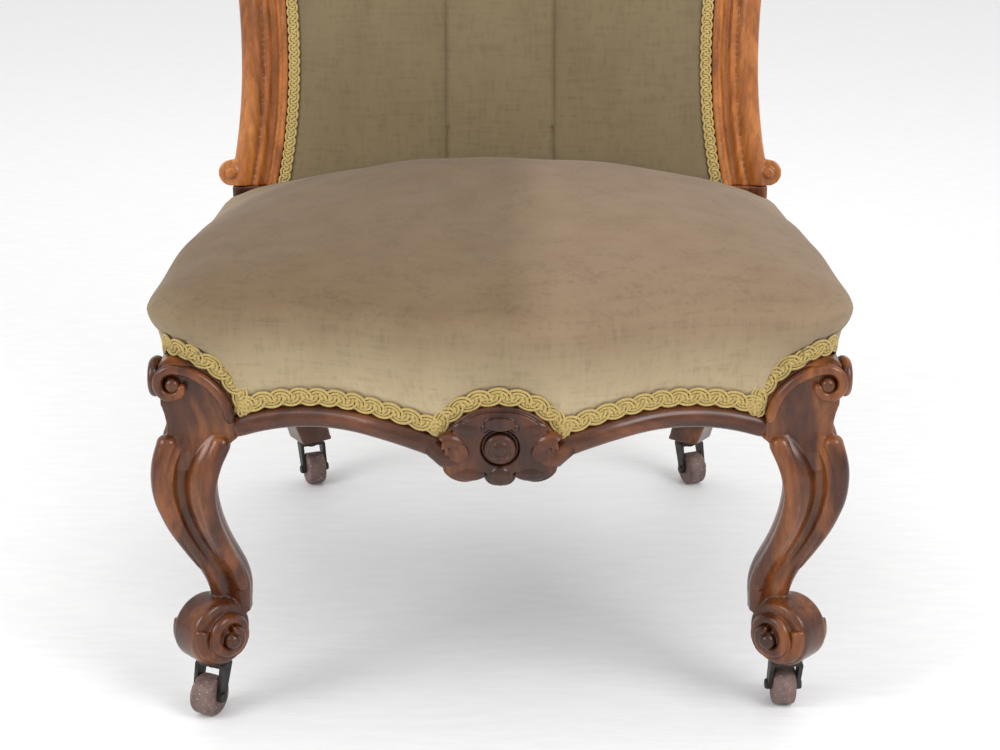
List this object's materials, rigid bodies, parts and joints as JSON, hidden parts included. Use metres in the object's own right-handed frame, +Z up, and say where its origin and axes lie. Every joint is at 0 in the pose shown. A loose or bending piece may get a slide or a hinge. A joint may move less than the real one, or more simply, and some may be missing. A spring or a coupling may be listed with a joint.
{
  "type": "upholstered nursing chair",
  "caption": "Low upholstered side chair with a carved show-wood frame, cabriole front legs with scroll feet, sprung bow-fronted seat, buttoned back and swivel casters.",
  "frame": {"origin": "on the floor, under the middle of the chair's bounding box", "axes": "+X to the right of someone facing the chair, +Y towards its back, +Z up"},
  "size_m": [0.546, 0.6301, 0.928],
  "materials": {
    "show_wood": "polished figured walnut, worn on the edges",
    "beech": "plain beech, unpolished",
    "seat_velvet": "cotton velvet, faded olive to taupe",
    "back_velvet": "cotton velvet, olive",
    "braid": "gold-olive scroll gimp",
    "horsehair": "curled hair stuffing",
    "jute": "woven jute",
    "black_cloth": "thin black cotton",
    "steel": "plain steel",
    "caster_iron": "dark forged iron",
    "caster_wheel": "brown mottled, unglazed"
  },
  "bodies": {
    "chair_frame": {"back_bottom_rail": "beech", "back_braid": "braid", "back_buttons": "back_velvet", "back_hessian": "jute", "back_left_caster_plate": "caster_iron", "back_leg_left": "show_wood", "back_leg_right": "show_wood", "back_pad": "back_velvet", "back_right_caster_plate": "caster_iron", "back_seat_rail": "beech", "back_stile_left": "show_wood", "back_stile_right": "show_wood", "caster_plate_screws": "steel", "corner_blocks": "beech", "crest_rail": "show_wood", "crosswise_webbing": "jute", "dust_cover": "black_cloth", "frame_dowels": "beech", "front_cartouche": "show_wood", "front_left_caster_plate": "caster_iron", "front_leg_left": "show_wood", "front_leg_right": "show_wood", "front_right_caster_plate": "caster_iron", "front_seat_rail": "show_wood", "lengthwise_webbing": "jute", "outside_back": "back_velvet", "seat_braid": "braid", "seat_cover": "seat_velvet", "seat_springs": "steel", "seat_stuffing": "horsehair", "side_seat_rail_left": "show_wood", "side_seat_rail_right": "show_wood", "spring_hessian": "jute"},
    "front_left_fork": {"front_left_caster_fork": "caster_iron", "front_left_caster_pintle": "caster_iron", "front_left_caster_axle": "caster_iron"},
    "front_left_wheel": {"front_left_caster_wheel": "caster_wheel"},
    "front_right_fork": {"front_right_caster_fork": "caster_iron", "front_right_caster_pintle": "caster_iron", "front_right_caster_axle": "caster_iron"},
    "front_right_wheel": {"front_right_caster_wheel": "caster_wheel"},
    "back_left_fork": {"back_left_caster_fork": "caster_iron", "back_left_caster_pintle": "caster_iron", "back_left_caster_axle": "caster_iron"},
    "back_left_wheel": {"back_left_caster_wheel": "caster_wheel"},
    "back_right_fork": {"back_right_caster_fork": "caster_iron", "back_right_caster_pintle": "caster_iron", "back_right_caster_axle": "caster_iron"},
    "back_right_wheel": {"back_right_caster_wheel": "caster_wheel"}
  },
  "joints": [
    {"name": "front_left_swivel", "type": "hinge", "parent": "chair_frame", "child": "front_left_fork", "pos_m": [-0.234, -0.236, 0.0426], "axis": [0, 0, 1], "continuous": true},
    {"name": "front_left_roll", "type": "hinge", "parent": "front_left_fork", "child": "front_left_wheel", "pos_m": [-0.2378, -0.24416, 0.0165], "axis": [0.9063, -0.4226, 0], "continuous": true},
    {"name": "front_right_swivel", "type": "hinge", "parent": "chair_frame", "child": "front_right_fork", "pos_m": [0.234, -0.236, 0.0426], "axis": [0, 0, 1], "continuous": true},
    {"name": "front_right_roll", "type": "hinge", "parent": "front_right_fork", "child": "front_right_wheel", "pos_m": [0.234, -0.227, 0.0165], "axis": [-1, 0, 0], "continuous": true},
    {"name": "back_left_swivel", "type": "hinge", "parent": "chair_frame", "child": "back_left_fork", "pos_m": [-0.201, 0.244, 0.0426], "axis": [0, 0, 1], "continuous": true},
    {"name": "back_left_roll", "type": "hinge", "parent": "back_left_fork", "child": "back_left_wheel", "pos_m": [-0.19763, 0.23566, 0.0165], "axis": [0.9272, 0.3746, 0], "continuous": true},
    {"name": "back_right_swivel", "type": "hinge", "parent": "chair_frame", "child": "back_right_fork", "pos_m": [0.201, 0.244, 0.0426], "axis": [0, 0, 1], "continuous": true},
    {"name": "back_right_roll", "type": "hinge", "parent": "back_right_fork", "child": "back_right_wheel", "pos_m": [0.20437, 0.23566, 0.0165], "axis": [0.9272, 0.3746, 0], "continuous": true}
  ]
}
